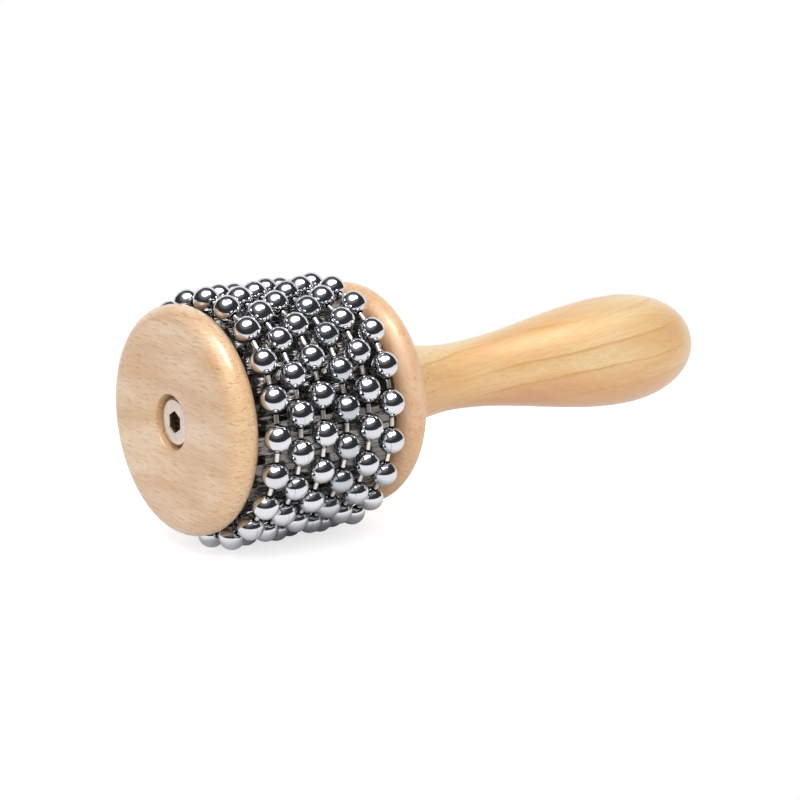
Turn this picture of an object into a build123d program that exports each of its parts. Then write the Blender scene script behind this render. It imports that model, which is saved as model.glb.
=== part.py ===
from build123d import *
import math
import os

# A small hand cabasa, in millimetres: loops of hollow metal balls turn around a ribbed metal drum
# between two wooden discs, and one long bolt clamps the drum to a turned wooden handle.
# +X runs along the drum from the front disc to the handle, and +Z is up.
# The origin is the centre of the front disc's outer face.

# Balls, and the headed links that join them into loops
ball_diameter = 7.0
ball_wall = 0.6
link_diameter = 1.25
link_visible_length = 2.9  # between two balls, before the loop closes on a whole number of them
link_hole_play = 0.3  # radial room of a link in the hole of a ball
link_head_lip = 0.15  # reach of a link's head past the edge of that hole
link_end_play = 0.2  # slack of the head behind the wall of its ball

# Loops of balls, and how far each stands turned about the drum, front to rear, in degrees
loop_turns = (-0.4, 8.0, 1.1, 9.0, 1.8, 10.1)
loop_gap = 0.1  # between the balls of neighbouring loops
loop_clearance = 0.3  # between the balls and the ribs of the sleeve or the edge of a disc
loop_slack = 1.6  # how much further out a loop hangs where it doesn't lie on the drum
loop_lie = 4  # the higher, the shorter the stretch that lies on the drum
lying_turn = -25.0  # the middle of that stretch, from the top towards the far side
first_loop_from_disc = 2.85  # from the front disc to the middle of its balls, beside the disc's round edge
last_loop_from_disc = 5.55  # from the middle of its balls to the rear disc

# Drum
core_diameter = 51.4
sleeve_fit = 0.05  # radial room between the core and the sleeve
sleeve_wall = 0.3  # sheet left at the bottom of the grooves
rib_height = 0.12
rib_pitch = 2.6
seam_gap = 0.5
seam_angle = -125.0  # the seam is low on the far side, turned from the top like the loops

# Tacks beside the seam, midway between loops
tack_head_diameter = 2.4
tack_head_height = 0.4
tack_head_round = 0.25
tack_shank_diameter = 1.0
tack_length = 7.0
tack_fit = 0.05
tack_from_seam = 3.0
tack_every = 2  # one tack for every second space between loops

# Wooden discs
disc_diameter = 60.0
disc_thickness = 9.0
disc_edge_radius = 4.3
counterbore_floor = 3.35  # wood left under the washer
counterbore_clearance = 1.05  # radial room around the head of the bolt
counterbore_chamfer = 0.6

# Clamp bolt, washer and insert
bolt_diameter = 6.0
bolt_hole_clearance = 0.3
bolt_head_diameter = 12.4
bolt_head_height = 3.0
bolt_head_round = 0.6
hex_across_flats = 5.0
hex_depth = 2.2
bolt_overrun = 2.0  # bolt past the end of the insert
bolt_tip_chamfer = 0.8
bolt_tip_gap = 2.0
washer_diameter = 13.0
washer_thickness = 1.2
washer_play = 0.2
insert_diameter = 10.0
insert_length = 14.0
insert_fit = 0.05
insert_groove_width = 1.2
insert_groove_depth = 0.5
insert_grooves = 4
thread_play = 0.05

# Handle, measured from the back of the rear disc
handle_length = 118.0
handle_base_diameter = 31.0
handle_base_slope = 0.4  # how fast the radius falls behind the disc
neck_from_disc = 29.0
neck_diameter = 18.5
bulb_from_disc = 91.0
bulb_diameter = 32.1
nose_fullness = 0.6  # 0.55 is an ellipse, more is blunter
spigot_diameter = 16.0
spigot_length = 5.0
spigot_fit = 0.05
spigot_end_gap = 0.3

# Places that follow from the sizes
loop_count = len(loop_turns)
ball_radius = ball_diameter / 2
loop_pitch = ball_diameter + loop_gap
sleeve_inner_radius = core_diameter / 2 + sleeve_fit
groove_radius = sleeve_inner_radius + sleeve_wall
rib_radius = groove_radius + rib_height
lying_radius = rib_radius + loop_clearance + ball_radius
loop_radius = lying_radius + loop_slack

# The balls next to a disc stay clear of its round edge, however far they stand from its face
edge_radius = min(disc_edge_radius, 0.48 * disc_thickness)  # hardly any flat is left between two full rims
rise_over_edge = max(lying_radius - (disc_diameter / 2 - edge_radius), 0)
reach_from_edge = edge_radius + loop_clearance + ball_radius
clear_of_disc = math.sqrt(max(reach_from_edge**2 - rise_over_edge**2, 0)) - edge_radius
front_margin = max(first_loop_from_disc, clear_of_disc)
rear_margin = max(last_loop_from_disc, clear_of_disc)
drum_length = front_margin + (loop_count - 1) * loop_pitch + rear_margin

drum_start = disc_thickness
rear_disc_start = drum_start + drum_length
handle_start = rear_disc_start + disc_thickness
first_loop = drum_start + front_margin
insert_start = handle_start - spigot_length
insert_end = insert_start + insert_length

washer_start = disc_thickness - counterbore_floor - washer_thickness
bolt_head_start = washer_start - bolt_head_height
bolt_end = insert_end + bolt_overrun
bolt_radius = bolt_diameter / 2
bolt_hole_radius = bolt_radius + bolt_hole_clearance

# A loop closes on a whole number of balls
balls_per_loop = round(2 * math.pi * loop_radius / (ball_diameter + link_visible_length))
ball_step = 360 / balls_per_loop
ball_spacing = 2 * loop_radius * math.sin(math.radians(ball_step / 2))

# A link's head lies behind the edge of its hole, inside the ball
cavity_radius = ball_radius - ball_wall
link_radius = link_diameter / 2
link_hole_radius = link_radius + link_hole_play
link_head_radius = link_hole_radius + link_head_lip
hole_edge = math.sqrt(cavity_radius**2 - link_hole_radius**2)
head_reach = math.sqrt(link_head_radius**2 - link_hole_radius**2)
head_from_ball = hole_edge - head_reach - link_end_play

through = 1.0  # how far a cutting tool runs past the face that it opens


def rod(start, length, radius):
    """A cylinder along the drum's axis."""
    along_x = (0, 90, 0)
    from_start = (Align.CENTER, Align.CENTER, Align.MIN)
    return Pos(start, 0, 0) * Cylinder(radius, length, rotation=along_x, align=from_start)


def bolt_hole(start, length):
    return rod(start - through, length + 2 * through, bolt_hole_radius)


def rounded_disc(start):
    """A wooden end plate with both rims rounded."""
    disc = rod(start, disc_thickness, disc_diameter / 2)
    return fillet(disc.edges().filter_by(GeomType.CIRCLE), edge_radius)


def front_disc():
    counterbore_radius = bolt_head_diameter / 2 + counterbore_clearance
    depth = disc_thickness - counterbore_floor
    disc = rounded_disc(0) - bolt_hole(0, disc_thickness)
    disc -= rod(-through, depth + through, counterbore_radius)
    mouth = disc.faces().sort_by(Axis.X)[0].edges().sort_by(SortBy.LENGTH)[0]
    return chamfer(mouth, counterbore_chamfer)


def rear_disc():
    socket_start = insert_start - spigot_end_gap
    socket_length = handle_start - socket_start + through
    disc = rounded_disc(rear_disc_start) - bolt_hole(rear_disc_start, disc_thickness)
    return disc - rod(socket_start, socket_length, spigot_diameter / 2 + spigot_fit)


def tack_places():
    """Distance along the drum and turn about it of each tack."""
    swing = math.degrees(tack_from_seam / rib_radius)
    spaces = range(0, loop_count - 1, tack_every)
    along = [first_loop + (space + 0.5) * loop_pitch for space in spaces]
    return [(x, seam_angle + side * swing) for x in along for side in (-1, 1)]


def tack_hole(x, turn):
    """A pilot hole straight in towards the axis."""
    depth = rib_radius - tack_length + tack_head_height - tack_fit
    length = rib_radius + through - depth
    from_depth = (Align.CENTER, Align.CENTER, Align.MIN)
    hole = Cylinder(tack_shank_diameter / 2 + tack_fit, length, align=from_depth)
    return Rot(turn, 0, 0) * Pos(x, 0, depth) * hole


def drum_core():
    core = rod(drum_start, drum_length, core_diameter / 2) - bolt_hole(drum_start, drum_length)
    for x, turn in tack_places():
        core -= tack_hole(x, turn)
    return core


def drum_sleeve():
    """Ribbed sheet: each rib is an arc between two grooves, and a seam runs the length of the drum."""
    rib_count = round(2 * math.pi * rib_radius / rib_pitch)
    rib_angle = 2 * math.pi / rib_count

    def on_circle(radius, angle):
        return (radius * math.cos(angle), radius * math.sin(angle))

    ribs = []
    for rib in range(rib_count):
        groove = on_circle(groove_radius, rib * rib_angle)
        crest = on_circle(rib_radius, (rib + 0.5) * rib_angle)
        next_groove = on_circle(groove_radius, (rib + 1) * rib_angle)
        ribs.append(ThreePointArc(groove, crest, next_groove))
    section = make_face(ribs) - Circle(sleeve_inner_radius)
    sleeve = Pos(drum_start, 0, 0) * Rot(0, 90, 0) * extrude(section, drum_length)
    outwards = (Align.MIN, Align.CENTER, Align.MIN)
    seam = Box(drum_length + 2 * through, seam_gap, loop_radius, align=outwards)
    sleeve -= Rot(seam_angle, 0, 0) * Pos(drum_start - through, 0, 0) * seam
    for x, turn in tack_places():
        sleeve -= tack_hole(x, turn)
    return sleeve


def sleeve_tacks():
    upright = (Align.CENTER, Align.CENTER, Align.MIN)
    head = Cylinder(tack_head_diameter / 2, tack_head_height, align=upright)
    head = fillet(head.edges().sort_by(Axis.Z)[-1], tack_head_round)
    shank_length = tack_length - tack_head_height
    tack = head + Pos(0, 0, -shank_length) * Cylinder(tack_shank_diameter / 2, shank_length, align=upright)
    return Compound(
        children=[Rot(turn, 0, 0) * Pos(x, 0, rib_radius) * tack for x, turn in tack_places()]
    )


def handle():
    """Turned outline in three stretches: flare to neck, neck to bulb, and round nose."""
    base = (handle_start, handle_base_diameter / 2)
    neck = (handle_start + neck_from_disc, neck_diameter / 2)
    bulb = (handle_start + bulb_from_disc, bulb_diameter / 2)
    tip = (handle_start + handle_length, 0)
    foot = (handle_start, 0)

    flare_third = neck_from_disc / 3
    swell_third = (bulb_from_disc - neck_from_disc) / 3
    nose_length = handle_length - bulb_from_disc
    flare = Bezier(
        base,
        (base[0] + flare_third, base[1] - handle_base_slope * flare_third),
        (neck[0] - flare_third, neck[1]),
        neck,
    )
    swell = Bezier(neck, (neck[0] + swell_third, neck[1]), (bulb[0] - swell_third, bulb[1]), bulb)
    nose = Bezier(
        bulb,
        (bulb[0] + nose_fullness * nose_length, bulb[1]),
        (tip[0], nose_fullness * bulb[1]),
        tip,
    )
    outline = make_face([flare, swell, nose, Line(tip, foot), Line(foot, base)])
    turned = revolve(outline, Axis.X)
    turned += rod(insert_start, spigot_length + through, spigot_diameter / 2)

    turned -= rod(insert_start - through, insert_length + through, insert_diameter / 2 + insert_fit)
    return turned - rod(insert_start, bolt_end + bolt_tip_gap - insert_start, bolt_hole_radius)


def clamp_bolt():
    head = rod(bolt_head_start, bolt_head_height, bolt_head_diameter / 2)
    head = fillet(head.edges().filter_by(GeomType.CIRCLE).sort_by(Axis.X)[0], bolt_head_round)
    shank_start = bolt_head_start + bolt_head_height
    shank = rod(shank_start, bolt_end - shank_start, bolt_radius)
    shank = chamfer(shank.edges().filter_by(GeomType.CIRCLE).sort_by(Axis.X)[-1], bolt_tip_chamfer)

    corner_radius = hex_across_flats / math.sqrt(3)
    hexagon = RegularPolygon(corner_radius, 6)
    socket = Pos(bolt_head_start, 0, 0) * Rot(0, 90, 0) * extrude(hexagon, hex_depth)
    return head + shank - socket


def bolt_washer():
    ring = rod(washer_start, washer_thickness, washer_diameter / 2)
    return ring - rod(washer_start - through, washer_thickness + 2 * through, bolt_radius + washer_play)


def threaded_insert():
    body = rod(insert_start, insert_length, insert_diameter / 2)
    body -= rod(insert_start - through, insert_length + 2 * through, bolt_radius + thread_play)
    spacing = insert_length / (insert_grooves + 1)
    for groove in range(insert_grooves):
        start = insert_start + (groove + 1) * spacing - insert_groove_width / 2
        ring = rod(start, insert_groove_width, insert_diameter / 2 + through)
        body -= ring - rod(start, insert_groove_width, insert_diameter / 2 - insert_groove_depth)
    return body


def ball():
    """A hollow ball with a hole towards each neighbour, as at the top of a loop."""
    shell = Sphere(ball_radius) - Sphere(cavity_radius)
    from_centre = (Align.CENTER, Align.CENTER, Align.MIN)
    for side in (-1, 1):
        hole = Cylinder(link_hole_radius, ball_diameter, align=from_centre)
        shell -= Rot(side * (90 + ball_step / 2), 0, 0) * hole
    return shell


def link():
    """A headed link along Y."""
    head_spacing = ball_spacing - 2 * head_from_ball
    pin = Cylinder(link_radius, head_spacing)
    for side in (-1, 1):
        pin += Pos(0, 0, side * head_spacing / 2) * Sphere(link_head_radius)
    return Rot(90, 0, 0) * pin


def ball_centre(loop, number):
    """A loop lies on the drum over its top and hangs a little clear of it elsewhere."""
    turn = math.radians(loop_turns[loop] + number * ball_step)
    lying = max(math.cos(turn - math.radians(lying_turn)), 0) ** loop_lie
    radius = loop_radius - loop_slack * lying
    x = first_loop + loop * loop_pitch
    return Vector(x, -radius * math.sin(turn), radius * math.cos(turn))


def turn_along(start, end):
    """Turn about X, in degrees, of the way from one ball to another."""
    way = end - start
    return math.degrees(math.atan2(-way.Z, -way.Y))


def loop_pieces(loop):
    """The balls of a loop and the links between them."""
    one_ball, one_link = ball(), link()
    balls, links = [], []
    for number in range(balls_per_loop):
        before, centre, after = (ball_centre(loop, number + step) for step in (-1, 0, 1))
        balls.append(Pos(centre) * Rot(turn_along(before, after), 0, 0) * one_ball)
        links.append(Pos((centre + after) * 0.5) * Rot(turn_along(centre, after), 0, 0) * one_link)
    return Compound(children=balls), Compound(children=links)


parts = {
    "front_disc": front_disc(),
    "rear_disc": rear_disc(),
    "drum_core": drum_core(),
    "drum_sleeve": drum_sleeve(),
    "sleeve_tacks": sleeve_tacks(),
    "handle": handle(),
    "clamp_bolt": clamp_bolt(),
    "bolt_washer": bolt_washer(),
    "threaded_insert": threaded_insert(),
}
for loop in range(loop_count):
    balls, links = loop_pieces(loop)
    parts[f"bead_balls_{loop + 1}"] = balls
    parts[f"bead_links_{loop + 1}"] = links

os.makedirs("parts", exist_ok=True)
for node, shape in parts.items():
    export_step(shape, f"parts/{node}.step")
print(f"{len(parts)} parts, {balls_per_loop} balls in a loop of radius {loop_radius:.2f} mm")
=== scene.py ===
import math
import random

import bmesh
import bpy
from mathutils import Matrix, Vector
from mathutils.geometry import interpolate_bezier


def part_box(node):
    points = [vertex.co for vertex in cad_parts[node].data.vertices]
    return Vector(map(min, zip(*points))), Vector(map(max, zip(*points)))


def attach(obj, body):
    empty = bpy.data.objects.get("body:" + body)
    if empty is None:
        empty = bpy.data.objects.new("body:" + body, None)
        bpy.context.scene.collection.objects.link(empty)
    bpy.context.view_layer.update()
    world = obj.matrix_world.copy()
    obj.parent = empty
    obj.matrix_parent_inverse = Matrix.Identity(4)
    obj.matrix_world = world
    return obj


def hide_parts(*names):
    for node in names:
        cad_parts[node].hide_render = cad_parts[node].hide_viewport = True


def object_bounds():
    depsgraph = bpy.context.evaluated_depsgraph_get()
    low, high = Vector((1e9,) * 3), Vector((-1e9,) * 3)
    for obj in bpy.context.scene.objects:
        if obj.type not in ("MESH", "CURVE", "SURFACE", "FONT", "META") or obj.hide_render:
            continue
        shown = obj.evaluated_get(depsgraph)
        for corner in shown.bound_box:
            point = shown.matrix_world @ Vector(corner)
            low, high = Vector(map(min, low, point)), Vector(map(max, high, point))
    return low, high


# A small hand cabasa: loops of chromed balls on a ribbed drum, two beech discs and a pine handle.
# +X runs from the front disc to the handle, and sizes are in millimetres until they are built.
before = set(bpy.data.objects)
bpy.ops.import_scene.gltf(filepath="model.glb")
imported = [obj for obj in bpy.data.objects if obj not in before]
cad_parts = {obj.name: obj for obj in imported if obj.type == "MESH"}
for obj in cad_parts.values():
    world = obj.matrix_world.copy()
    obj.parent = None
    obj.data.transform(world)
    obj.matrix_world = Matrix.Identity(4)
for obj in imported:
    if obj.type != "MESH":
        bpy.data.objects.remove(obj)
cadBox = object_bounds()
mm = 0.001


def srgb(hexColour):
    channels = [int(hexColour[i:i + 2], 16) / 255 for i in (1, 3, 5)]
    linear = [c / 12.92 if c <= 0.04045 else ((c + 0.055) / 1.055) ** 2.4 for c in channels]
    return (*linear, 1.0)


def addNode(tree, kind, settings, inputs, stops=()):
    node = tree.nodes.new(kind)
    for name, value in settings.items():
        setattr(node, name, value)
    for name, value in inputs.items():
        if isinstance(value, bpy.types.NodeSocket):
            tree.links.new(value, node.inputs[name])
        else:
            node.inputs[name].default_value = value
    for number, (position, colour) in enumerate(stops):
        elements = node.color_ramp.elements
        element = elements[number] if number < 2 else elements.new(position)
        element.position = position
        element.color = colour
    return node


def newMaterial(name):
    material = bpy.data.materials.new(name)
    material.use_nodes = True
    tree = material.node_tree
    return material, tree, tree.nodes["Principled BSDF"]


# sockets of the Mix node when it mixes colours
mixA, mixB, mixResult = 6, 7, 2
black = (0, 0, 0, 1)
white = (1, 1, 1, 1)


# noise with grains of these sizes along X, Y and Z, in millimetres, before the turn
def grainNoise(tree, coords, sizes, turn=(0, 0, 0), detail=3.0, roughness=0.5):
    mapped = addNode(tree, "ShaderNodeMapping", {"vector_type": "TEXTURE"}, {
        "Vector": coords.outputs["Object"], "Rotation": turn,
        "Scale": tuple(size * mm for size in sizes)})
    noise = addNode(tree, "ShaderNodeTexNoise", {}, {
        "Vector": mapped.outputs["Vector"], "Scale": 1.0,
        "Detail": detail, "Roughness": roughness})
    return noise.outputs["Fac"]


# wood

beechFront = {
    "name": "lacquered beech",
    "pale": "#EED2B2", "mid": "#E5C39F", "warm": "#DCB38A",
    # the end grain is its own warmer tone, drawn lighter as painted light on the rim and the shaded
    # bore wall
    "endGrain": "#F8CF9D", "fibre": "#F5E8D8",
    "grainTurn": 3.0,                 # degrees about the drum, from level
    # sizes into the board, along the grain and across it
    "patchMm": (28.0, 30.0, 7.0),
    "fibreMm": (2.2, 9.0, 0.55), "fibreShare": 0.8,
    "flecks": (                       # size, noise level, share, colour
        ((2.4, 9.0, 0.6), 0.62, 0.45, "#C4824F"),      # a few longer reddish streaks
        ((1.2, 4.4, 0.3), 0.59, 0.5, "#B4774A"),       # rays, and pores drawn coarse enough to show
    ),
    "fleckEdge": 0.12, "fleckPit": 0.05,
    "endShare": 0.6,                  # of the end grain's colour where the grain is cut across
    "roughness": (0.42, 0.6),         # rises in the flecks
    "coat": 0.8, "coatRoughness": 0.2,
}
beechRear = dict(
    beechFront, name="lacquered beech, warmer board",
    pale="#F3CEAA", mid="#EDC29C", warm="#E5B78D", endGrain="#EDC091", grainTurn=64.0,
    flecks=(
        ((2.4, 8.0, 0.6), 0.65, 0.35, "#CC9A70"),
        ((1.2, 3.0, 0.3), 0.62, 0.4, "#B4774A"),       # fewer than on the front board
    ),
    coat=0.45, coatRoughness=0.27,                     # a thinner, duller coat
)


# Beech, turned and sprayed with clear lacquer: pale pinkish ground, fine fibres, many short brown
# flecks, warmer where the rim cuts across the grain and on the front board lighter there as painted
# light, and a wet-looking highlight on round edges
def makeBeech(look):
    material, tree, shader = newMaterial(look["name"])
    coords = addNode(tree, "ShaderNodeTexCoord", {}, {})
    turn = (math.radians(look["grainTurn"]), 0, 0)
    tones = [(0.34, srgb(look["warm"])), (0.66, srgb(look["pale"])), (0.5, srgb(look["mid"]))]
    patches = addNode(tree, "ShaderNodeValToRGB", {}, {
        "Fac": grainNoise(tree, coords, look["patchMm"], turn, detail=2.0)}, tones)
    fibres = addNode(tree, "ShaderNodeValToRGB", {}, {
        "Fac": grainNoise(tree, coords, look["fibreMm"], turn, roughness=0.55)},
        [(0.32, srgb(look["fibre"])), (0.6, white)])

    # end grain shows where the surface faces along the fibres
    grainWay = (0, math.cos(turn[0]), math.sin(turn[0]))
    facing = addNode(tree, "ShaderNodeVectorMath", {"operation": "DOT_PRODUCT"}, {
        0: coords.outputs["Normal"], 1: grainWay})
    endOn = addNode(tree, "ShaderNodeMath", {"operation": "ABSOLUTE"}, {0: facing.outputs["Value"]})
    endMask = addNode(tree, "ShaderNodeMapRange", {"interpolation_type": "SMOOTHSTEP"}, {
        "Value": endOn.outputs["Value"], "From Min": 0.05, "To Max": look["endShare"]})

    board = addNode(tree, "ShaderNodeMix", {"data_type": "RGBA"}, {
        0: endMask.outputs["Result"], mixA: patches.outputs["Color"], mixB: srgb(look["endGrain"])})
    colour = addNode(tree, "ShaderNodeMix", {"data_type": "RGBA", "blend_type": "MULTIPLY"}, {
        0: look["fibreShare"], mixA: board.outputs[mixResult], mixB: fibres.outputs["Color"]})
    for sizes, level, share, tone in look["flecks"]:
        flecks = addNode(tree, "ShaderNodeMapRange", {"interpolation_type": "SMOOTHSTEP"}, {
            "Value": grainNoise(tree, coords, sizes, turn, detail=1.0),
            "From Min": level, "From Max": level + look["fleckEdge"], "To Max": share})
        colour = addNode(tree, "ShaderNodeMix", {"data_type": "RGBA"}, {
            0: flecks.outputs["Result"], mixA: colour.outputs[mixResult], mixB: srgb(tone)})
    pits = addNode(tree, "ShaderNodeBump", {"invert": True}, {
        "Strength": 0.2, "Distance": look["fleckPit"] * mm, "Height": flecks.outputs["Result"]})
    gloss = addNode(tree, "ShaderNodeMapRange", {}, {
        "Value": flecks.outputs["Result"],
        "To Min": look["roughness"][0], "To Max": look["roughness"][1]})

    tree.links.new(colour.outputs[mixResult], shader.inputs["Base Color"])
    tree.links.new(gloss.outputs["Result"], shader.inputs["Roughness"])
    tree.links.new(pits.outputs["Normal"], shader.inputs["Normal"])
    shader.inputs["IOR"].default_value = 1.5
    shader.inputs["Coat Weight"].default_value = look["coat"]
    shader.inputs["Coat Roughness"].default_value = look["coatRoughness"]
    return material


pineLook = {
    "pale": "#F6D7A3", "mid": "#F3C788", "late": "#DC9F55",
    "rose": "#EEBA86", "fibre": "#F2E1C8", "resin": "#A66E38",
    # painted light: the redder tone below is partly heartwood and partly painted shade, the cool pale
    # tone on top is a painted sheen
    "heartAndShadeTone": "#F6E2D6", "sheenTone": "#F3F7FF",     # redder below, near the heart, paler on top
    "heartAndShadeSide": -14.0, "sheenSide": 15.0,
    "ringMm": 6.5, "ringStretch": 7.0,     # between rings; their waves are longer along the handle
    "heart": (0.0, -14.0, -59.2),          # middle of the tree, from the handle's axis
    "grainTilt": (0.0, -5.5, 1.5),         # degrees; the rings climb a little towards the tip
    "fadeMm": (34.0, 5.0, 5.0), "fadeShare": (0.2, 0.85),     # late wood is stronger in places
    "patchMm": (60.0, 12.0, 12.0),
    "fibreMm": (10.0, 0.45, 0.45), "fibreShare": 0.7, "fibreRelief": 0.05,
    "resinMm": (6.0, 0.45, 0.45),
    "resinEnds": (72.0, 96.0), "resinShare": (0.9, 0.04),     # specks gather in the neck
    "roughness": (0.5, 0.4),               # of early and of late wood
    "coat": 1.0, "coatRoughness": 0.34,
}


# Pine, turned and wiped with satin lacquer: yellow early wood, redder below, partly as heartwood and
# partly as painted shade, paler and cooler on top as a painted sheen, thin orange late-wood lines that
# stretch where the outline swells, a few resin specks and a soft sheen
def makePine(look):
    material, tree, shader = newMaterial("satin pine")
    coords = addNode(tree, "ShaderNodeTexCoord", {}, {})
    tilt = tuple(math.radians(angle) for angle in look["grainTilt"])
    ringSize = look["ringMm"] * mm
    ringPlace = addNode(tree, "ShaderNodeMapping", {"vector_type": "TEXTURE"}, {
        "Vector": coords.outputs["Object"], "Rotation": tilt,
        "Location": tuple(side * mm for side in look["heart"]),
        "Scale": (ringSize * look["ringStretch"], ringSize, ringSize)})
    rings = addNode(tree, "ShaderNodeTexWave", {
        "wave_type": "RINGS", "rings_direction": "X", "wave_profile": "SAW"}, {
        "Vector": ringPlace.outputs["Vector"], "Scale": math.pi / 10,  # one wave to each ring
        "Distortion": 1.6, "Detail": 2.0, "Detail Scale": 2.2, "Detail Roughness": 0.5})
    lateWood = addNode(tree, "ShaderNodeValToRGB", {}, {"Fac": rings.outputs["Fac"]},
                       [(0.52, black), (1.0, black), (0.84, (0.22, 0.22, 0.22, 1)), (0.95, white)])
    fade = addNode(tree, "ShaderNodeMapRange", {}, {
        "Value": grainNoise(tree, coords, look["fadeMm"], tilt, detail=1.0),
        "From Min": 0.35, "From Max": 0.65,
        "To Min": look["fadeShare"][0], "To Max": look["fadeShare"][1]})
    lateMask = addNode(tree, "ShaderNodeMath", {"operation": "MULTIPLY"}, {
        0: lateWood.outputs["Color"], 1: fade.outputs["Result"]})

    tones = [(0.32, srgb(look["rose"])), (0.64, srgb(look["pale"])), (0.48, srgb(look["mid"]))]
    patches = addNode(tree, "ShaderNodeValToRGB", {}, {
        "Fac": grainNoise(tree, coords, look["patchMm"], tilt, detail=2.0)}, tones)
    place = addNode(tree, "ShaderNodeSeparateXYZ", {}, {"Vector": coords.outputs["Object"]})
    # across the height: heartwood and painted shade below, a painted sheen on top
    heartAndShadeToSheen = addNode(tree, "ShaderNodeMapRange", {}, {
        "Value": place.outputs["Z"],
        "From Min": look["heartAndShadeSide"] * mm, "From Max": look["sheenSide"] * mm})
    tone = addNode(tree, "ShaderNodeValToRGB", {}, {"Fac": heartAndShadeToSheen.outputs["Result"]},
                   [(0.15, srgb(look["heartAndShadeTone"])), (0.9, srgb(look["sheenTone"])), (0.5, white)])
    toned = addNode(tree, "ShaderNodeMix", {"data_type": "RGBA", "blend_type": "MULTIPLY"}, {
        0: 1.0, mixA: patches.outputs["Color"], mixB: tone.outputs["Color"]})
    fibres = addNode(tree, "ShaderNodeValToRGB", {}, {
        "Fac": grainNoise(tree, coords, look["fibreMm"], tilt, roughness=0.6)},
        [(0.3, srgb(look["fibre"])), (0.62, white)])
    specks = addNode(tree, "ShaderNodeValToRGB", {}, {
        "Fac": grainNoise(tree, coords, look["resinMm"], tilt, detail=0.0)},
        [(0.74, black), (0.82, white)])
    inNeck = addNode(tree, "ShaderNodeMapRange", {"interpolation_type": "SMOOTHSTEP"}, {
        "Value": place.outputs["X"],
        "From Min": look["resinEnds"][1] * mm, "From Max": look["resinEnds"][0] * mm,
        "To Min": look["resinShare"][1], "To Max": look["resinShare"][0]})
    resin = addNode(tree, "ShaderNodeMath", {"operation": "MULTIPLY"}, {
        0: specks.outputs["Color"], 1: inNeck.outputs["Result"]})

    ringed = addNode(tree, "ShaderNodeMix", {"data_type": "RGBA"}, {
        0: lateMask.outputs["Value"], mixA: toned.outputs[mixResult], mixB: srgb(look["late"])})
    grained = addNode(tree, "ShaderNodeMix", {"data_type": "RGBA", "blend_type": "MULTIPLY"}, {
        0: look["fibreShare"], mixA: ringed.outputs[mixResult], mixB: fibres.outputs["Color"]})
    colour = addNode(tree, "ShaderNodeMix", {"data_type": "RGBA"}, {
        0: resin.outputs["Value"], mixA: grained.outputs[mixResult], mixB: srgb(look["resin"])})
    relief = addNode(tree, "ShaderNodeBump", {}, {
        "Strength": 0.15, "Distance": look["fibreRelief"] * mm, "Height": fibres.outputs["Color"]})
    gloss = addNode(tree, "ShaderNodeMapRange", {}, {
        "Value": lateMask.outputs["Value"],
        "To Min": look["roughness"][0], "To Max": look["roughness"][1]})

    tree.links.new(colour.outputs[mixResult], shader.inputs["Base Color"])
    tree.links.new(gloss.outputs["Result"], shader.inputs["Roughness"])
    tree.links.new(relief.outputs["Normal"], shader.inputs["Normal"])
    shader.inputs["IOR"].default_value = 1.5
    shader.inputs["Coat Weight"].default_value = look["coat"]
    shader.inputs["Coat Roughness"].default_value = look["coatRoughness"]
    return material


# metal

chromeLook = {
    "bright": "#DCDDE2", "dull": "#AEB5BD",
    "roughness": (0.03, 0.07), "dullRoughness": 0.13,
    "smudgeMm": (2.2, 2.2, 2.2),
}


# Chrome plate on drawn steel: mirror bright with faint smudges, and each ball has its own dullness
def makeChrome(look):
    material, tree, shader = newMaterial("chrome plate")
    coords = addNode(tree, "ShaderNodeTexCoord", {}, {})
    dullness = addNode(tree, "ShaderNodeAttribute", {"attribute_name": "dullness"}, {})
    colour = addNode(tree, "ShaderNodeMix", {"data_type": "RGBA"}, {
        0: dullness.outputs["Fac"], mixA: srgb(look["bright"]), mixB: srgb(look["dull"])})
    polish = addNode(tree, "ShaderNodeMapRange", {}, {
        "Value": grainNoise(tree, coords, look["smudgeMm"]), "From Min": 0.35, "From Max": 0.7,
        "To Min": look["roughness"][0], "To Max": look["roughness"][1]})
    haze = addNode(tree, "ShaderNodeMath", {"operation": "MULTIPLY_ADD"}, {
        0: dullness.outputs["Fac"], 1: look["dullRoughness"], 2: polish.outputs["Result"]})
    tree.links.new(colour.outputs[mixResult], shader.inputs["Base Color"])
    tree.links.new(haze.outputs["Value"], shader.inputs["Roughness"])
    shader.inputs["Metallic"].default_value = 1.0
    return material


metals = {
    # satin nickel on cut wire: warm white, fine mottling, painted shade where a pin enters its balls
    "nickel plate": {
        "light": "#F1EEEA", "dark": "#DFDAD4",
        "roughness": (0.28, 0.4), "grainMm": (1.5, 0.2, 0.2), "holeShade": "#2A2623"},
    # bright zinc on a forged head: pale warm grey, soft mottled sheen
    "zinc plate": {
        "light": "#DFCFC5", "dark": "#D0C0B6",
        "roughness": (0.16, 0.24), "grainMm": (1.1, 1.1, 1.1)},
    # the socket's broached sides: steel drawn brown, blotchy and darker than the head, as painted
    # shade in the recess
    "socket steel, painted shade": {
        "light": "#A8917C", "dark": "#75624F",
        "roughness": (0.3, 0.5), "grainMm": (0.9, 0.9, 0.9)},
    # polished rolled sheet steel: its tone drawn dark as painted shade between the balls, with bright
    # glints along its ribs; the unevenness of the sheet is drawn strong enough to show between them
    "ribbed sheet steel": {
        "light": "#8A8682", "dark": "#65625E",
        "roughness": (0.05, 0.1), "grainMm": (16.0, 1.2, 1.2), "reliefMm": 0.3},
    # blued wire nails: dark, slightly rough
    "blued tack steel": {
        "light": "#77787C", "dark": "#505156",
        "roughness": (0.3, 0.45), "grainMm": (0.5, 0.5, 0.5)},
    # turned brass: yellow, with faint turning marks
    "turned brass": {
        "light": "#D2AC5A", "dark": "#B08A3C",
        "roughness": (0.25, 0.35), "grainMm": (0.2, 4.0, 4.0)},
}
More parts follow.
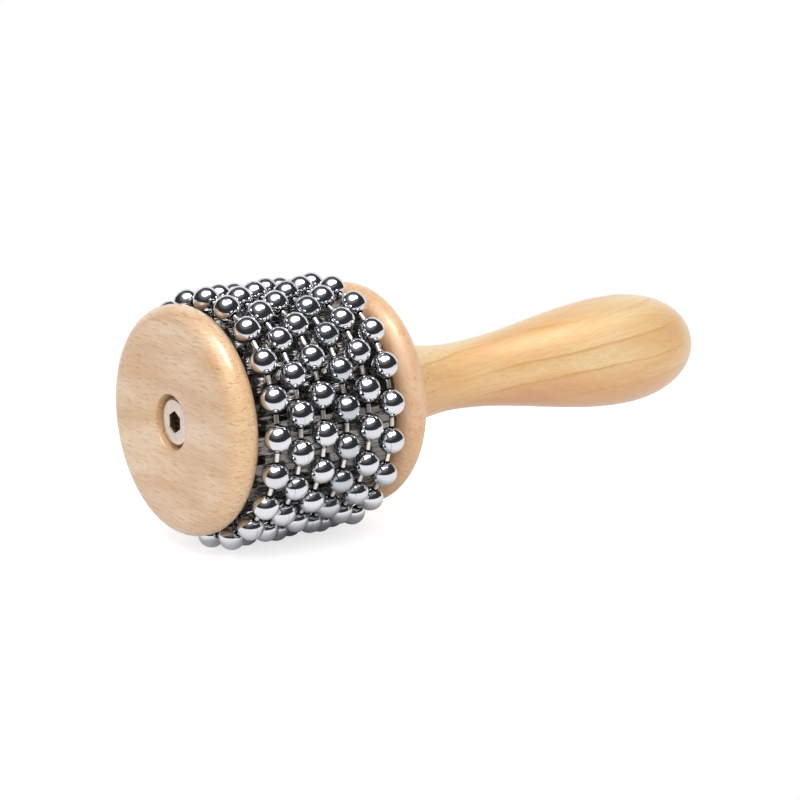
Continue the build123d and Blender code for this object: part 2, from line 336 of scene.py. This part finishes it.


# A worked metal: two near tones and two near roughnesses over its own grain, then painted shade
# and relief where it has them
def makeMetal(name):
    look = metals[name]
    material, tree, shader = newMaterial(name)
    coords = addNode(tree, "ShaderNodeTexCoord", {}, {})
    grain = grainNoise(tree, coords, look["grainMm"])
    colour = addNode(tree, "ShaderNodeValToRGB", {}, {"Fac": grain},
                     [(0.35, srgb(look["dark"])), (0.65, srgb(look["light"]))])
    polish = addNode(tree, "ShaderNodeMapRange", {}, {
        "Value": grain, "From Min": 0.3, "From Max": 0.7,
        "To Min": look["roughness"][0], "To Max": look["roughness"][1]})
    tone = colour.outputs["Color"]
    # painted shade: the pins' ends inside the balls' holes are drawn dark
    if "holeShade" in look:
        holeShade = addNode(tree, "ShaderNodeAttribute", {"attribute_name": "holeShade"}, {})
        holeShaded = addNode(tree, "ShaderNodeMix", {"data_type": "RGBA"}, {
            0: holeShade.outputs["Fac"], mixA: tone, mixB: srgb(look["holeShade"])})
        tone = holeShaded.outputs[mixResult]
    if "reliefMm" in look:
        relief = addNode(tree, "ShaderNodeBump", {}, {
            "Distance": look["reliefMm"] * mm, "Height": grain})
        tree.links.new(relief.outputs["Normal"], shader.inputs["Normal"])
    tree.links.new(tone, shader.inputs["Base Color"])
    tree.links.new(polish.outputs["Result"], shader.inputs["Roughness"])
    shader.inputs["Metallic"].default_value = 1.0
    return material


# mesh tools

axisX = Vector((1, 0, 0))
origin = Vector((0, 0, 0))
creaseAngle = math.radians(32)     # edges that turn more than this stay crisp


# turns an outline of (x, radius) points about the drum's axis
def spinOutline(bm, points, segments, closed):
    verts = [bm.verts.new((x * mm, 0, radius * mm)) for x, radius in points]
    edges = [bm.edges.new(pair) for pair in zip(verts, verts[1:])]
    if closed:
        edges.append(bm.edges.new((verts[-1], verts[0])))
    bmesh.ops.spin(bm, geom=verts + edges, cent=origin, axis=axisX, dvec=origin,
                   angle=math.tau, steps=segments, use_merge=True, use_duplicate=False)
    bmesh.ops.remove_doubles(bm, verts=bm.verts, dist=0.001 * mm)
    bmesh.ops.recalc_face_normals(bm, faces=bm.faces)


# the ring of edges at one place along the axis and one radius
def ringAt(bm, x, radius):
    near = 0.01 * mm

    def onRing(vert):
        reach = math.hypot(vert.co.y, vert.co.z)
        return abs(vert.co.x - x * mm) < near and abs(reach - radius * mm) < near

    return [edge for edge in bm.edges if all(onRing(vert) for vert in edge.verts)]


def roundEdges(bm, edges, size, steps):
    bmesh.ops.bevel(bm, geom=edges, offset=size * mm, offset_type="OFFSET", segments=steps,
                    profile=0.5, affect="EDGES", material=-1, clamp_overlap=False)


# places a circle across the drum's axis
def acrossAxis(x):
    return Matrix.Translation((x * mm, 0, 0)) @ Matrix.Rotation(math.pi / 2, 4, "Y")


def meshFrom(bm, name):
    mesh = bpy.data.meshes.new(name)
    bm.to_mesh(mesh)
    bm.free()
    return mesh


def makePiece(name, bm, material, body, nodes):
    mesh = meshFrom(bm, name)
    mesh.materials.append(material)
    mesh.shade_smooth()
    mesh.set_sharp_from_angle(angle=creaseAngle)
    piece = bpy.data.objects.new(name, mesh)
    bpy.context.collection.objects.link(piece)
    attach(piece, body)
    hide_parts(*nodes)
    return piece


def nodeEnds(node):
    low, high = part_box(node)
    return low.x / mm, high.x / mm


# discs

discs = {
    "radius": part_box("front_disc")[1].z / mm,
    "edgeRadius": 4.3, "edgeSteps": 12, "segments": 160,
    "boltHole": 3.3,
    "boreRadius": 7.25, "boreDepth": 5.65,           # around the bolt's head
    "mouthRound": 0.6, "mouthSteps": 3,
    "socketRadius": 8.05, "socketDepth": 5.3,        # for the handle's spigot
}


def roundRims(bm, start, end):
    for x in (start, end):
        roundEdges(bm, ringAt(bm, x, discs["radius"]), discs["edgeRadius"], discs["edgeSteps"])


start, end = nodeEnds("front_disc")
boreFloor = start + discs["boreDepth"]
bm = bmesh.new()
spinOutline(bm, [
    (end, discs["boltHole"]), (end, discs["radius"]), (start, discs["radius"]),
    (start, discs["boreRadius"]), (boreFloor, discs["boreRadius"]), (boreFloor, discs["boltHole"]),
], discs["segments"], closed=True)
roundRims(bm, start, end)
roundEdges(bm, ringAt(bm, start, discs["boreRadius"]), discs["mouthRound"], discs["mouthSteps"])
makePiece("frontDisc", bm, makeBeech(beechFront), "drum", ["front_disc"])

start, end = nodeEnds("rear_disc")
socketFloor = end - discs["socketDepth"]
bm = bmesh.new()
spinOutline(bm, [
    (start, discs["boltHole"]), (start, discs["radius"]), (end, discs["radius"]),
    (end, discs["socketRadius"]), (socketFloor, discs["socketRadius"]),
    (socketFloor, discs["boltHole"]),
], discs["segments"], closed=True)
roundRims(bm, start, end)
makePiece("rearDisc", bm, makeBeech(beechRear), "drum", ["rear_disc"])
print("discs made")


# handle

handle = {
    "start": nodeEnds("rear_disc")[1], "tip": nodeEnds("handle")[1],
    "baseRadius": 15.5, "baseSlope": 0.4,
    "neckFromDisc": 29.0, "neckRadius": 9.25,
    "bulbFromDisc": 91.0, "bulbRadius": 16.05,
    "noseFullness": 0.6,              # 0.55 is an ellipse, more is blunter
    "spigotRadius": 8.0, "spigotLength": 5.0,
    "insertRadius": 5.05, "insertLength": 14.0,
    "boltHole": 3.3, "boltRoom": 18.0,
    "curveSteps": 22, "segments": 128,
}


def outlineStretch(*points):
    corners = [Vector((x, radius, 0)) for x, radius in points]
    return [(point.x, point.y) for point in interpolate_bezier(*corners, handle["curveSteps"])]


base = (handle["start"], handle["baseRadius"])
neck = (handle["start"] + handle["neckFromDisc"], handle["neckRadius"])
bulb = (handle["start"] + handle["bulbFromDisc"], handle["bulbRadius"])
tip = (handle["tip"], 0)
flareThird = handle["neckFromDisc"] / 3
swellThird = (bulb[0] - neck[0]) / 3
noseLength = tip[0] - bulb[0]
flare = outlineStretch(base, (base[0] + flareThird, base[1] - handle["baseSlope"] * flareThird),
                       (neck[0] - flareThird, neck[1]), neck)
swell = outlineStretch(neck, (neck[0] + swellThird, neck[1]), (bulb[0] - swellThird, bulb[1]), bulb)
nose = outlineStretch(bulb, (bulb[0] + handle["noseFullness"] * noseLength, bulb[1]),
                      (tip[0], handle["noseFullness"] * bulb[1]), tip)
spigotStart = handle["start"] - handle["spigotLength"]
insertEnd = spigotStart + handle["insertLength"]
boltRoomEnd = spigotStart + handle["boltRoom"]
bm = bmesh.new()
spinOutline(bm, [
    (boltRoomEnd, 0), (boltRoomEnd, handle["boltHole"]), (insertEnd, handle["boltHole"]),
    (insertEnd, handle["insertRadius"]), (spigotStart, handle["insertRadius"]),
    (spigotStart, handle["spigotRadius"]), (handle["start"], handle["spigotRadius"]),
    *flare, *swell[1:], *nose[1:],
], handle["segments"], closed=False)
makePiece("turnedHandle", bm, makePine(pineLook), "drum", ["handle"])
print("handle made")


# clamp bolt

bolt = {
    "headRadius": 6.2, "headHeight": 3.0, "headRound": 0.6, "headRoundSteps": 6,
    "hexAcrossFlats": 5.0, "hexDepth": 2.2, "hexCone": 0.5, "hexConeTip": 0.3,
    "hexEdge": 0.12, "hexEdgeSteps": 2,
    "hexCuts": 9,        # cuts of each side of the hexagon
    "shankRadius": 3.0, "tipChamfer": 0.8,
}


# carries an open ring on: new edges moved along the axis and drawn to another radius
def carryRing(bm, edges, along, toRadius=None):
    grown = bmesh.ops.extrude_edge_only(bm, edges=edges)["geom"]
    verts = [part for part in grown if isinstance(part, bmesh.types.BMVert)]
    for vert in verts:
        vert.co.x += along * mm
        if toRadius is not None:
            vert.co.yz = vert.co.yz.normalized() * toRadius * mm
    return [part for part in grown if isinstance(part, bmesh.types.BMEdge)
            and all(vert in verts for vert in part.verts)]


start, end = nodeEnds("clamp_bolt")
facing = acrossAxis(start)
cornerUp = facing @ Matrix.Rotation(math.pi / 6, 4, "Z")
cornerRadius = bolt["hexAcrossFlats"] / math.sqrt(3)
bm = bmesh.new()
bmesh.ops.create_circle(bm, segments=6, radius=cornerRadius * mm, matrix=cornerUp)
bmesh.ops.subdivide_edges(bm, edges=bm.edges, cuts=bolt["hexCuts"])
hexEdges = list(bm.edges)
headRadius = bolt["headRadius"]
bmesh.ops.create_circle(bm, segments=len(hexEdges), radius=headRadius * mm, matrix=facing)
rimEdges = [edge for edge in bm.edges if edge not in hexEdges]
bmesh.ops.bridge_loops(bm, edges=hexEdges + rimEdges)
hexFloor = carryRing(bm, hexEdges, bolt["hexDepth"])
hexTip = carryRing(bm, hexFloor, bolt["hexCone"], bolt["hexConeTip"])
bmesh.ops.edgeloop_fill(bm, edges=hexTip)
headBack = carryRing(bm, rimEdges, bolt["headHeight"])
shankTop = carryRing(bm, headBack, 0, bolt["shankRadius"])
shankEnd = carryRing(bm, shankTop, end - start - bolt["headHeight"] - bolt["tipChamfer"])
boltTip = carryRing(bm, shankEnd, bolt["tipChamfer"], bolt["shankRadius"] - bolt["tipChamfer"])
bmesh.ops.edgeloop_fill(bm, edges=boltTip)
bmesh.ops.recalc_face_normals(bm, faces=bm.faces)
roundEdges(bm, ringAt(bm, start, headRadius), bolt["headRound"], bolt["headRoundSteps"])
roundEdges(bm, [edge for edge in hexEdges if edge.is_valid], bolt["hexEdge"], bolt["hexEdgeSteps"])
# the socket's faces take the second material, whose darker brown is painted shade
for face in bm.faces:      # the socket is the second material
    middle = face.calc_center_median()
    sunk = bolt["hexEdge"] * mm < middle.x - start * mm < bolt["headHeight"] * mm
    face.material_index = int(sunk and middle.yz.length < cornerRadius * mm)
clampBolt = makePiece("clampBolt", bm, makeMetal("zinc plate"), "drum", ["clamp_bolt"])
clampBolt.data.materials.append(makeMetal("socket steel, painted shade"))
print("bolt made")


# drum sleeve

sleeve = {
    "grooveRadius": 26.05, "ribHeight": 0.12, "ribs": 63, "ribSteps": 6,
    "sheet": 0.3,
    "seamTurn": -125.0, "seamSteps": 1,     # degrees from the top, and its width in steps of a rib
}

start, end = nodeEnds("drum_sleeve")
ringSteps = sleeve["ribs"] * sleeve["ribSteps"]
bm = bmesh.new()
bmesh.ops.create_circle(bm, segments=ringSteps, radius=sleeve["grooveRadius"] * mm,
                        matrix=acrossAxis(start))
bm.verts.ensure_lookup_table()
for number, vert in enumerate(bm.verts):   # each rib swells between two grooves
    across = number % sleeve["ribSteps"] / sleeve["ribSteps"]
    swellBy = sleeve["ribHeight"] * math.sin(math.pi * across) ** 2
    vert.co.yz = vert.co.yz.normalized() * (sleeve["grooveRadius"] + swellBy) * mm
seamTurn = math.radians(sleeve["seamTurn"])
seamWay = Vector((0, -math.sin(seamTurn), math.cos(seamTurn)))


def awayFromSeam(edge):
    return -(edge.verts[0].co + edge.verts[1].co).dot(seamWay)


seamEdges = sorted(bm.edges, key=awayFromSeam)[:sleeve["seamSteps"]]
bmesh.ops.delete(bm, geom=seamEdges, context="EDGES")
carryRing(bm, list(bm.edges), end - start)
bmesh.ops.recalc_face_normals(bm, faces=bm.faces)
acrossOnly = Vector((0, 1, 1))
outward = sum(face.normal.dot(face.calc_center_median() * acrossOnly) for face in bm.faces)
if outward < 0:
    bmesh.ops.reverse_faces(bm, faces=bm.faces)
# with its faces outwards, the sheet thickens inwards
bmesh.ops.solidify(bm, geom=list(bm.faces), thickness=sleeve["sheet"] * mm)
# the sleeve's dark tone is painted shade between the balls
sheetSteel = makeMetal("ribbed sheet steel")
makePiece("ribbedSleeve", bm, sheetSteel, "drum", ["drum_sleeve"])
print("sleeve made")


# loops of balls

beads = {
    "ballRadius": 3.5, "ballWall": 0.6,
    "holeRadius": 0.87, "holeRound": 0.08, "holeSteps": 2,
    "ballsPerLoop": 20, "loopRadius": 31.57,
    # a loop lies on the drum around the lying turn, in degrees from the top, and hangs clear elsewhere
    "lyingTurn": -25.0, "loopSlack": 1.6, "loopLie": 4,
    "loopTurns": (-0.4, 8.0, 1.1, 9.0, 1.8, 10.1),    # degrees about the drum
    "arcSteps": 14, "cavitySteps": 4, "ballSegments": 36,
    "seamWidth": 0.07,         # open seam of the rolled ball, hole to hole
    "dullLoops": {4: 0.55},    # this loop has an older plating
    "dullSpread": 0.25,
    "pinRadius": 0.625, "headRadius": 1.075, "headFromBall": 2.0,
    "pinSegments": 16, "headSteps": 6,
    # the pins' ends inside the balls' holes are drawn dark as painted shade
    "holeShadeFrom": (1.05, 1.2),  # from the middle of a pin: clean up to the first, dark past the second
    "seed": 11,
}
ballStep = math.tau / beads["ballsPerLoop"]


def arcPoints(radius, first, last, steps):
    angles = [first + (last - first) * step / steps for step in range(steps + 1)]
    return [(radius * math.cos(angle), radius * math.sin(angle)) for angle in angles]


# one hollow ball at the origin, with its holes along X
def ballMesh():
    holeOutside = math.asin(beads["holeRadius"] / beads["ballRadius"])
    cavityRadius = beads["ballRadius"] - beads["ballWall"]
    holeInside = math.asin(beads["holeRadius"] / cavityRadius)
    outside = arcPoints(beads["ballRadius"], holeOutside, math.pi - holeOutside, beads["arcSteps"])
    inside = arcPoints(cavityRadius, math.pi - holeInside, holeInside, beads["cavitySteps"])
    seamAngle = beads["seamWidth"] / beads["ballRadius"]

    bm = bmesh.new()
    verts = [bm.verts.new((x * mm, 0, radius * mm)) for x, radius in outside + inside]
    section = bm.faces.new(verts)
    bmesh.ops.spin(bm, geom=[section, *section.edges, *verts], cent=origin, axis=axisX, dvec=origin,
                   angle=math.tau - seamAngle, steps=beads["ballSegments"],
                   use_merge=False, use_duplicate=False)
    bmesh.ops.recalc_face_normals(bm, faces=bm.faces)
    for side in (-1, 1):
        rim = ringAt(bm, side * outside[0][0], beads["holeRadius"])
        roundEdges(bm, rim, beads["holeRound"], beads["holeSteps"])
    return meshFrom(bm, "ball")


# the pin from one ball to the next, at the origin along X
def pinMesh():
    spacing = 2 * beads["loopRadius"] * math.sin(ballStep / 2)
    headAt = spacing / 2 - beads["headFromBall"]
    shoulder = math.pi - math.asin(beads["pinRadius"] / beads["headRadius"])
    headArc = arcPoints(beads["headRadius"], 0, shoulder, beads["headSteps"])
    half = [(headAt + x, radius) for x, radius in headArc]
    half += [(x, beads["pinRadius"]) for x in reversed(beads["holeShadeFrom"])]
    otherHalf = [(-x, radius) for x, radius in reversed(half)]
    bm = bmesh.new()
    spinOutline(bm, half + otherHalf, beads["pinSegments"], closed=False)
    return meshFrom(bm, "pin")


# adds a copy of a mesh and gives its verts
def addCopy(bm, mesh, placing):
    known = len(bm.verts)
    bm.from_mesh(mesh)
    bm.verts.ensure_lookup_table()
    added = bm.verts[known:]
    bmesh.ops.transform(bm, matrix=placing, verts=added)
    return added


def ballCentre(loopX, turn):
    lying = max(math.cos(turn - math.radians(beads["lyingTurn"])), 0) ** beads["loopLie"]
    radius = (beads["loopRadius"] - beads["loopSlack"] * lying) * mm
    return Vector((loopX, -radius * math.sin(turn), radius * math.cos(turn)))


def turnAlong(first, last):
    way = last - first
    return Matrix.Rotation(math.atan2(-way.z, -way.y), 4, "X")


oneBall = ballMesh()
onePin = pinMesh()
chrome = makeChrome(chromeLook)
nickel = makeMetal("nickel plate")
alongLoop = Matrix.Rotation(math.pi / 2, 4, "Z")    # X of the piece to the way round the loop
bend = ballStep / 2                # each hole points down the chord to its neighbour
holeShadeEdge = sum(beads["holeShadeFrom"]) / 2 * mm
draw = random.Random(beads["seed"])

for number, loopTurn in enumerate(beads["loopTurns"], start=1):
    ballNode, pinNode = f"bead_balls_{number}", f"bead_links_{number}"
    low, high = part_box(ballNode)
    loopX = (low.x + high.x) / 2
    ballsBm, pinsBm = bmesh.new(), bmesh.new()
    dullness = ballsBm.verts.layers.float.new("dullness")
    holeShade = pinsBm.verts.layers.float.new("holeShade")
    for place in range(beads["ballsPerLoop"]):
        turn = math.radians(loopTurn) + place * ballStep
        before, centre, after = (ballCentre(loopX, turn + step * ballStep) for step in (-1, 0, 1))
        roll = Matrix.Rotation(draw.uniform(0, math.tau), 4, "X")
        added = addCopy(ballsBm, oneBall, alongLoop @ roll)
        for vert in added:     # bends the ball's holes to the chords
            swing = -bend * vert.co.y / (beads["ballRadius"] * mm)
            vert.co = Matrix.Rotation(swing, 3, "X") @ vert.co
        ballPlace = Matrix.Translation(centre) @ turnAlong(before, after)
        bmesh.ops.transform(ballsBm, matrix=ballPlace, verts=added)
        ballDullness = beads["dullLoops"].get(number, 0.0) + draw.uniform(0, beads["dullSpread"])
        for vert in added:
            vert[dullness] = ballDullness
        pinMiddle = (centre + after) / 2
        alongPin = (after - centre).normalized()
        pinPlace = Matrix.Translation(pinMiddle) @ turnAlong(centre, after)
        # painted shade: each pin's ends, inside the balls' holes, are marked to be drawn dark
        for vert in addCopy(pinsBm, onePin, pinPlace @ alongLoop):
            fromMiddle = abs((vert.co - pinMiddle).dot(alongPin))
            vert[holeShade] = float(fromMiddle > holeShadeEdge)
    body = f"bead_loop_{number}"
    makePiece(f"chromeBalls{number}", ballsBm, chrome, body, [ballNode])
    makePiece(f"linkPins{number}", pinsBm, nickel, body, [pinNode])
print("loops made:", len(beads["loopTurns"]), "of", beads["ballsPerLoop"], "balls")


# CAD pieces that stay

# unlacquered poplar, turned: the beech's kind of grain in a duller, greener yellow
poplarCore = dict(
    beechFront, name="raw poplar core",
    pale="#E5D2B0", mid="#D9C39C", warm="#CDB489", coat=0.0,
)
carriedOver = {
    "drum_core": makeBeech(poplarCore),
    "sleeve_tacks": makeMetal("blued tack steel"),
    "bolt_washer": bpy.data.materials["zinc plate"],
    "threaded_insert": makeMetal("turned brass"),
}
for node, material in carriedOver.items():
    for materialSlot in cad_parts[node].material_slots:
        materialSlot.material = material
print("CAD pieces dressed:", ", ".join(carriedOver))


# studio

studio = {
    "azimuth": -37.426, "elevation": 12.832,       # of the camera, in degrees
    "cameraPlace": (-0.30598, -0.49650, 0.13814), "lens": 105.153,
    "tableFront": 0.15, "tableDepth": 3.0, "tableWidth": 4.0,
    "tableColour": "#D6D6D6", "tableRoughness": 0.9,
    "tableGlow": 0.7,                              # white of its own that the camera sees
    # reflections see the table's own white only beside the drum; right under it this is left out as
    # painted shade
    "tableShine": 0.45, "shineReach": (0.02, 0.05),      # the same in reflections, beside the drum
    "shadowReach": (0.08, 0.24),                   # the table turns plain white this far away
    "boxWay": (-0.337, -0.235, 0.911), "boxDistance": 0.9, "boxRadius": 0.52, "boxPower": 3.15,
    "fill": (0.02, 1.13), "fillRise": 0.4,         # from behind the object and from above the camera
    # what reflections see: a dark room, a white backdrop in degrees from its middle and the level,
    # and the softbox, with its reach in degrees and its edge and halo as shares of that
    "darkRoom": 0.042,
    "backdropHalfWidth": (50.0, 58.0), "backdropTop": (38.0, 46.0),
    "boxReach": (26.0, 28.0), "boxEdge": (0.85, 1.1), "boxShine": 3.2,
    "haloEdge": (0.9, 2.3), "haloShine": 0.32,
    # the lamp behind the softbox's cloth, in degrees from its middle
    "lampWay": (0.07, -0.34, 0.94), "lampEdge": (6.0, 20.0), "lampShine": 16.0,
}

cameraData = bpy.data.cameras.new("camera")
cameraData.lens = studio["lens"]
cameraData.clip_start = 0.01
camera = bpy.data.objects.new("camera", cameraData)
camera.location = studio["cameraPlace"]
camera.rotation_euler = (math.radians(90 - studio["elevation"]), 0, math.radians(studio["azimuth"]))
bpy.context.collection.objects.link(camera)
bpy.context.scene.camera = camera

# a white table whose front edge is just outside the picture
towardBack = Matrix.Rotation(math.radians(studio["azimuth"]), 4, "Z")
tableMiddle = Vector((0, studio["tableDepth"] / 2 - studio["tableFront"], 0))
objectMiddle = (cadBox[0] + cadBox[1]) / 2
underDrum = Matrix.Translation((objectMiddle.x / 2, 0, cadBox[0].z))
tablePlace = underDrum @ towardBack @ Matrix.Translation(tableMiddle)
bm = bmesh.new()
bmesh.ops.create_grid(bm, x_segments=1, y_segments=1, size=0.5)
bmesh.ops.scale(bm, vec=(studio["tableWidth"], studio["tableDepth"], 1), verts=bm.verts)
bmesh.ops.transform(bm, matrix=tablePlace, verts=bm.verts)
tableMesh = meshFrom(bm, "table")
table = bpy.data.objects.new("table", tableMesh)
bpy.context.collection.objects.link(table)


# what tells the camera's rays and reflected rays from those that only carry light
def lookingRays(tree):
    rays = addNode(tree, "ShaderNodeLightPath", {}, {})
    reflected = addNode(tree, "ShaderNodeMath", {"operation": "MAXIMUM"}, {
        0: rays.outputs["Is Glossy Ray"], 1: rays.outputs["Is Transmission Ray"]})
    return rays.outputs["Is Camera Ray"], reflected.outputs["Value"]


# matt white board: white of its own keeps the picture's ground white, the light on it draws the
# shadow, and reflections see it pale, but dim right under the drum, where its own white is left out as
# painted shade
material, tree, shader = newMaterial("matt white board")
shader.inputs["Base Color"].default_value = srgb(studio["tableColour"])
shader.inputs["Roughness"].default_value = studio["tableRoughness"]
shader.inputs["Specular IOR Level"].default_value = 0.0
cameraRay, reflectedRay = lookingRays(tree)
seen = addNode(tree, "ShaderNodeMath", {"operation": "MAXIMUM"}, {0: cameraRay, 1: reflectedRay})
coords = addNode(tree, "ShaderNodeTexCoord", {}, {})
fromObject = addNode(tree, "ShaderNodeVectorMath", {"operation": "DISTANCE"}, {
    0: coords.outputs["Object"], 1: objectMiddle})
shadowStart, shadowEnd = studio["shadowReach"]
away = addNode(tree, "ShaderNodeMapRange", {"interpolation_type": "SMOOTHSTEP"}, {
    "Value": fromObject.outputs["Value"], "From Min": shadowStart, "From Max": shadowEnd})
farShare = addNode(tree, "ShaderNodeMath", {"operation": "MULTIPLY"}, {
    0: seen.outputs["Value"], 1: away.outputs["Result"]})
# painted shade in reflections: the table's own white fades out towards the ground under the drum
fromDrum = addNode(tree, "ShaderNodeVectorMath", {"operation": "DISTANCE"}, {
    0: coords.outputs["Object"], 1: underDrum.translation})
shineStart, shineEnd = studio["shineReach"]
besideIt = addNode(tree, "ShaderNodeMapRange", {"interpolation_type": "SMOOTHSTEP"}, {
    "Value": fromDrum.outputs["Value"], "From Min": shineStart, "From Max": shineEnd,
    "To Max": studio["tableShine"]})
nearShine = addNode(tree, "ShaderNodeMath", {"operation": "MULTIPLY"}, {
    0: reflectedRay, 1: besideIt.outputs["Result"]})
nearGlow = addNode(tree, "ShaderNodeMath", {"operation": "MULTIPLY_ADD"}, {
    0: cameraRay, 1: studio["tableGlow"], 2: nearShine.outputs["Value"]})
ownWhite = addNode(tree, "ShaderNodeEmission", {}, {
    "Color": white, "Strength": nearGlow.outputs["Value"]})
nearBoard = addNode(tree, "ShaderNodeAddShader", {}, {
    0: shader.outputs["BSDF"], 1: ownWhite.outputs["Emission"]})
farBoard = addNode(tree, "ShaderNodeEmission", {}, {"Color": white, "Strength": 1.0})
board = addNode(tree, "ShaderNodeMixShader", {}, {
    0: farShare.outputs["Value"], 1: nearBoard.outputs["Shader"], 2: farBoard.outputs["Emission"]})
tree.links.new(board.outputs["Shader"], tree.nodes["Material Output"].inputs["Surface"])
tableMesh.materials.append(material)

# one round softbox overhead, a little to the front
boxData = bpy.data.lights.new("softbox", "AREA")
boxData.shape = "DISK"
boxData.size = 2 * studio["boxRadius"]
boxData.energy = studio["boxPower"]
softbox = bpy.data.objects.new("softbox", boxData)
boxWay = Vector(studio["boxWay"]).normalized()
softbox.location = objectMiddle + boxWay * studio["boxDistance"]
softbox.rotation_euler = boxWay.to_track_quat("Z", "Y").to_euler()
softbox.visible_glossy = False     # reflections see the soft-edged one in the surroundings
bpy.context.collection.objects.link(softbox)

# surroundings: a soft fill lights the object, the camera sees white, and reflections see the softbox,
# the white backdrop behind the object and a dark room in front of it
world = bpy.data.worlds.new("studio")
bpy.context.scene.world = world
world.use_nodes = True
tree = world.node_tree
tree.nodes.clear()
coords = addNode(tree, "ShaderNodeTexCoord", {}, {})
cameraRay, reflectedRay = lookingRays(tree)


# part of the surroundings around a way: full within the first angle and none past the second
def roundPatch(way, angles, shine=1.0):
    inner, outer = (math.cos(math.radians(angle)) for angle in angles)
    toward = addNode(tree, "ShaderNodeVectorMath", {"operation": "DOT_PRODUCT"}, {
        0: coords.outputs["Generated"], 1: way})
    return addNode(tree, "ShaderNodeMapRange", {"interpolation_type": "SMOOTHSTEP"}, {
        "Value": toward.outputs["Value"], "From Min": outer, "From Max": inner, "To Max": shine})


inWidth = roundPatch(towardBack.to_3x3() @ Vector((0, 1, 0)), studio["backdropHalfWidth"])
aboveIt = roundPatch(Vector((0, 0, 1)), [90 - angle for angle in reversed(studio["backdropTop"])])
backdrop = addNode(tree, "ShaderNodeMath", {"operation": "SUBTRACT", "use_clamp": True}, {
    0: inWidth.outputs["Result"], 1: aboveIt.outputs["Result"]})
room = addNode(tree, "ShaderNodeMath", {"operation": "MAXIMUM"}, {
    0: backdrop.outputs["Value"], 1: studio["darkRoom"]})
reach = [math.sin(math.radians(angle)) for angle in studio["boxReach"]]
aroundBox = addNode(tree, "ShaderNodeMapping", {"vector_type": "TEXTURE"}, {
    "Vector": coords.outputs["Generated"], "Location": boxWay, "Rotation": softbox.rotation_euler,
    "Scale": (*reach, 1.0)})
fromBox = addNode(tree, "ShaderNodeVectorMath", {"operation": "LENGTH"}, {
    0: aroundBox.outputs["Vector"]})
for part in ("halo", "box"):
    full, none = studio[part + "Edge"]
    patch = addNode(tree, "ShaderNodeMapRange", {"interpolation_type": "SMOOTHSTEP"}, {
        "Value": fromBox.outputs["Value"], "From Min": none, "From Max": full,
        "To Max": studio[part + "Shine"]})
    room = addNode(tree, "ShaderNodeMath", {"operation": "MAXIMUM"}, {
        0: room.outputs["Value"], 1: patch.outputs["Result"]})
lamp = roundPatch(Vector(studio["lampWay"]).normalized(), studio["lampEdge"], studio["lampShine"])
room = addNode(tree, "ShaderNodeMath", {"operation": "MAXIMUM"}, {
    0: room.outputs["Value"], 1: lamp.outputs["Result"]})
fillWay = camera.location.normalized() + Vector((0, 0, studio["fillRise"]))
inFront = addNode(tree, "ShaderNodeVectorMath", {"operation": "DOT_PRODUCT"}, {
    0: coords.outputs["Generated"], 1: fillWay.normalized()})
fill = addNode(tree, "ShaderNodeMapRange", {}, {
    "Value": inFront.outputs["Value"], "From Min": -1.0,
    "To Min": studio["fill"][0], "To Max": studio["fill"][1]})
fillOrRoom = addNode(tree, "ShaderNodeMix", {}, {
    0: reflectedRay, 2: fill.outputs["Result"], 3: room.outputs["Value"]})
strength = addNode(tree, "ShaderNodeMath", {"operation": "MAXIMUM"}, {
    0: fillOrRoom.outputs[0], 1: cameraRay})
background = addNode(tree, "ShaderNodeBackground", {}, {
    "Color": white, "Strength": strength.outputs["Value"]})
addNode(tree, "ShaderNodeOutputWorld", {}, {"Surface": background.outputs["Background"]})
bpy.context.scene.view_settings.view_transform = "Standard"
print("studio set")
